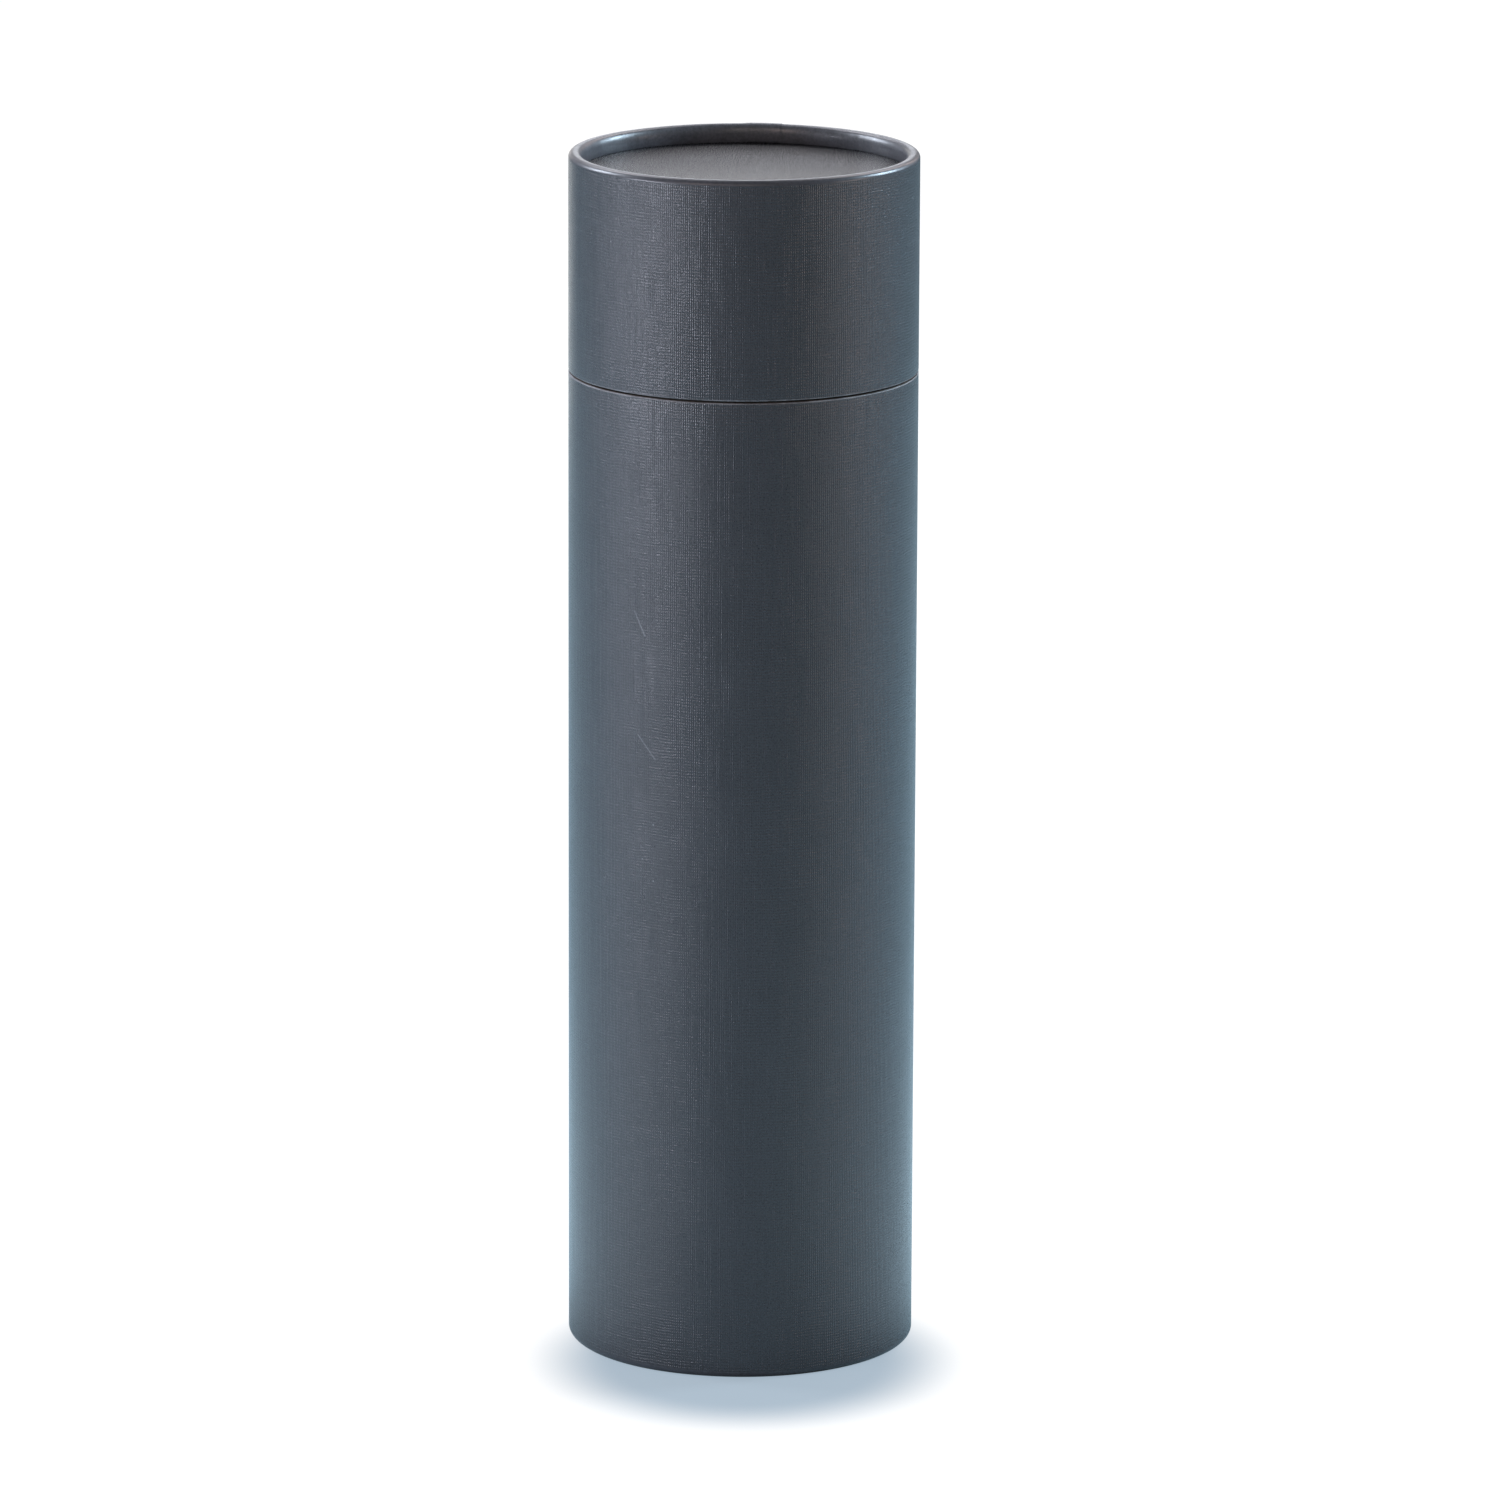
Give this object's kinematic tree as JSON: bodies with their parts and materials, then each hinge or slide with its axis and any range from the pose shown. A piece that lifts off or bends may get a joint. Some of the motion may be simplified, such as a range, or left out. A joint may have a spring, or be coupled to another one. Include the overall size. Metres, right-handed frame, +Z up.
{
  "type": "paper packaging tube",
  "caption": "Round paper packaging tube in dark linen-embossed paper, with a flush lift-off lid on a hidden neck, curled rims and recessed end discs.",
  "frame": {"origin": "centre of the base, on the surface that the tube stands on", "axes": "+Z up the tube's axis, towards the lid; -Y is the side that faces the picture's camera"},
  "size_m": [0.09, 0.09, 0.3135],
  "materials": {
    "linen_paper": "dark slate paper with a fine linen emboss and a soft sheen, on wound board",
    "neck_paper": "smooth matt near-black paper on wound board"
  },
  "bodies": {
    "body": {"body_shell": "linen_paper", "base_disc": "linen_paper", "neck_sleeve": "neck_paper"},
    "lid": {"lid_shell": "linen_paper", "lid_disc": "linen_paper"}
  },
  "joints": [
    {"name": "lid_lift", "type": "slide", "parent": "body", "child": "lid", "axis": [0, 0, 1], "range_m": [0, 0.045]}
  ]
}
